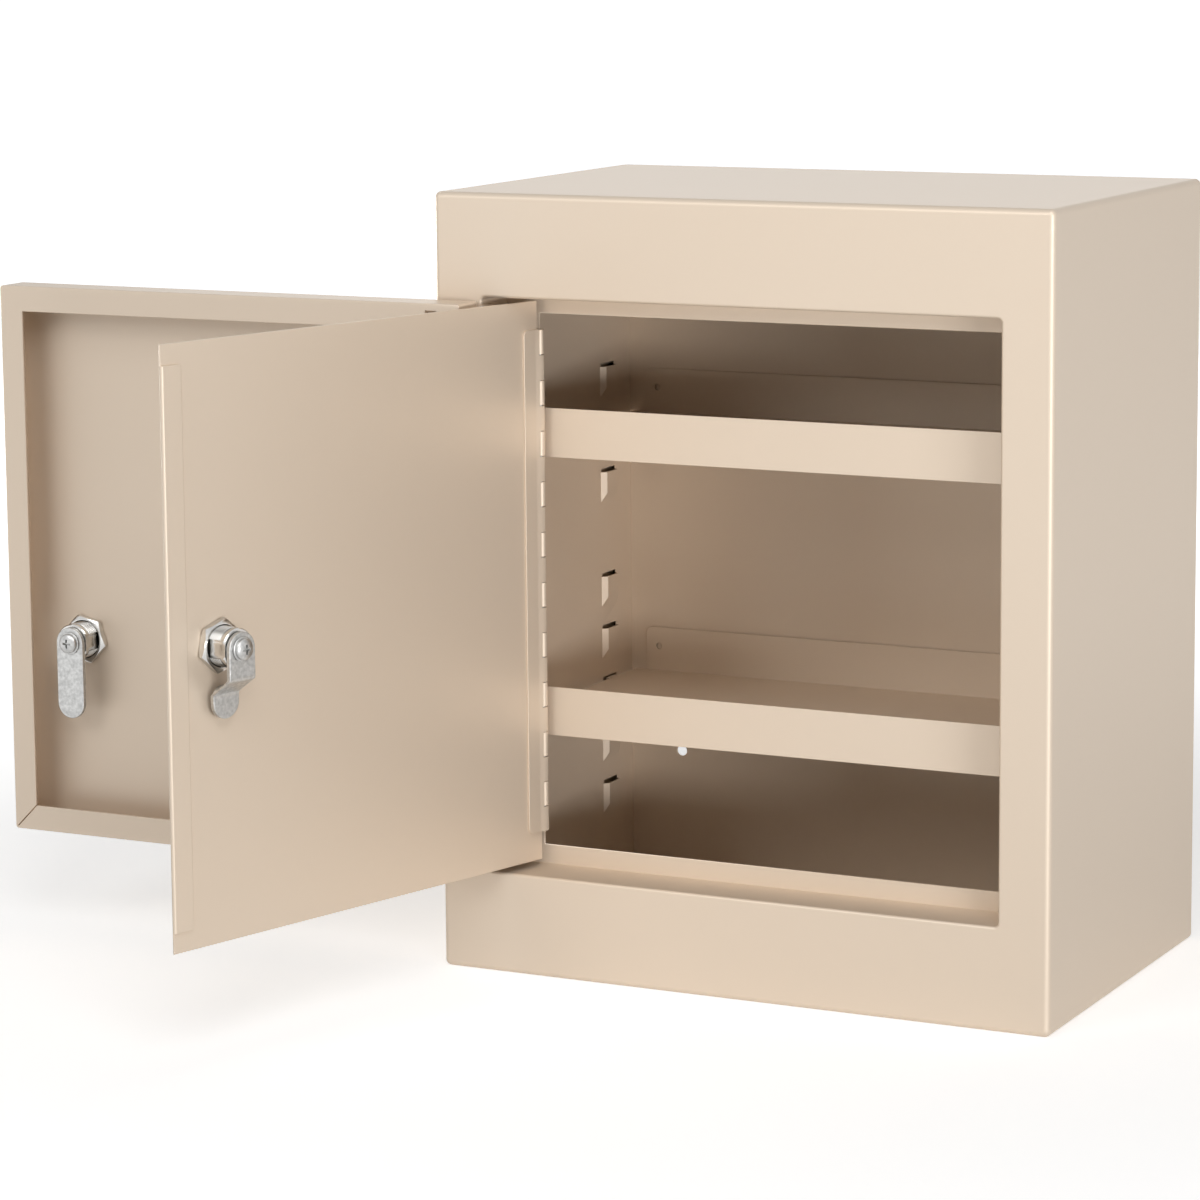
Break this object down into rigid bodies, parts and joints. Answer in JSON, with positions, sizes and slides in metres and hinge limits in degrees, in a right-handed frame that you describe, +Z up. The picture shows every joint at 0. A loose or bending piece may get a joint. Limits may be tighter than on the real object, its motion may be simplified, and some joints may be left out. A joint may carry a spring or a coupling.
{
  "type": "medicine cabinet",
  "caption": "Steel medicine cabinet for a wall or a bench, with a locking pan door, a second locking door behind it and shelves that lift out of pockets.",
  "frame": {"origin": "middle of the cabinet's base, on the surface it stands on", "axes": "+X to the right seen from the front, +Y from the front to the wall, +Z up"},
  "size_m": [0.552, 0.4145, 0.381],
  "materials": {
    "beige_paint": "satin powder coat with a fine texture",
    "lock_plating": "bright nickel plate",
    "zinc_plate": "dull zinc plate"
  },
  "bodies": {
    "cabinet": {"top_panel": "beige_paint", "base_panel": "beige_paint", "left_side": "beige_paint", "right_side": "beige_paint", "front_frame": "beige_paint", "back_panel": "beige_paint", "left_liner": "beige_paint", "right_liner": "beige_paint", "outer_hinge_frame_leaf": "beige_paint", "outer_hinge_pin": "zinc_plate", "inner_hinge_frame_leaf": "beige_paint", "inner_hinge_pin": "zinc_plate"},
    "outer_door": {"outer_door_panel": "beige_paint", "outer_hinge_door_leaf": "beige_paint", "outer_lock_barrel": "lock_plating", "outer_lock_nut": "lock_plating"},
    "inner_door": {"inner_door_panel": "beige_paint", "inner_hinge_door_leaf": "beige_paint", "inner_lock_barrel": "lock_plating", "inner_lock_nut": "lock_plating"},
    "outer_cam": {"outer_lock_plug": "lock_plating", "outer_lock_wafers": "zinc_plate", "outer_lock_cam": "zinc_plate", "outer_cam_washer": "zinc_plate", "outer_cam_screw": "zinc_plate"},
    "inner_cam": {"inner_lock_plug": "lock_plating", "inner_lock_wafers": "zinc_plate", "inner_lock_cam": "zinc_plate", "inner_cam_washer": "zinc_plate", "inner_cam_screw": "zinc_plate"},
    "upper_shelf": {"upper_shelf": "beige_paint"},
    "lower_shelf": {"lower_shelf": "beige_paint"}
  },
  "joints": [
    {"name": "outer_door_swing", "type": "hinge", "parent": "cabinet", "child": "outer_door", "pos_m": [-0.1315, -0.103, 0.1905], "axis": [0, 0, 1], "range_deg": [0, 180]},
    {"name": "inner_door_swing", "type": "hinge", "parent": "cabinet", "child": "inner_door", "pos_m": [-0.1145, -0.0763, 0.1905], "axis": [0, 0, 1], "range_deg": [0, 105.5]},
    {"name": "outer_cam_turn", "type": "hinge", "parent": "outer_door", "child": "outer_cam", "pos_m": [-0.3595, -0.1045, 0.1495], "axis": [0, 1, 0], "range_deg": [0, 90]},
    {"name": "inner_cam_turn", "type": "hinge", "parent": "inner_door", "child": "inner_cam", "pos_m": [-0.17244, -0.28335, 0.19], "axis": [-0.9636, 0.2672, 0], "range_deg": [0, 90]},
    {"name": "upper_shelf_lift", "type": "slide", "parent": "cabinet", "child": "upper_shelf", "axis": [0, 0, 1], "range_m": [0, 0.01]},
    {"name": "lower_shelf_lift", "type": "slide", "parent": "cabinet", "child": "lower_shelf", "axis": [0, 0, 1], "range_m": [0, 0.01]}
  ],
  "couplings": [
    {"joint": "inner_door_swing", "follows": "outer_door_swing", "ratio": 0.58611}
  ]
}
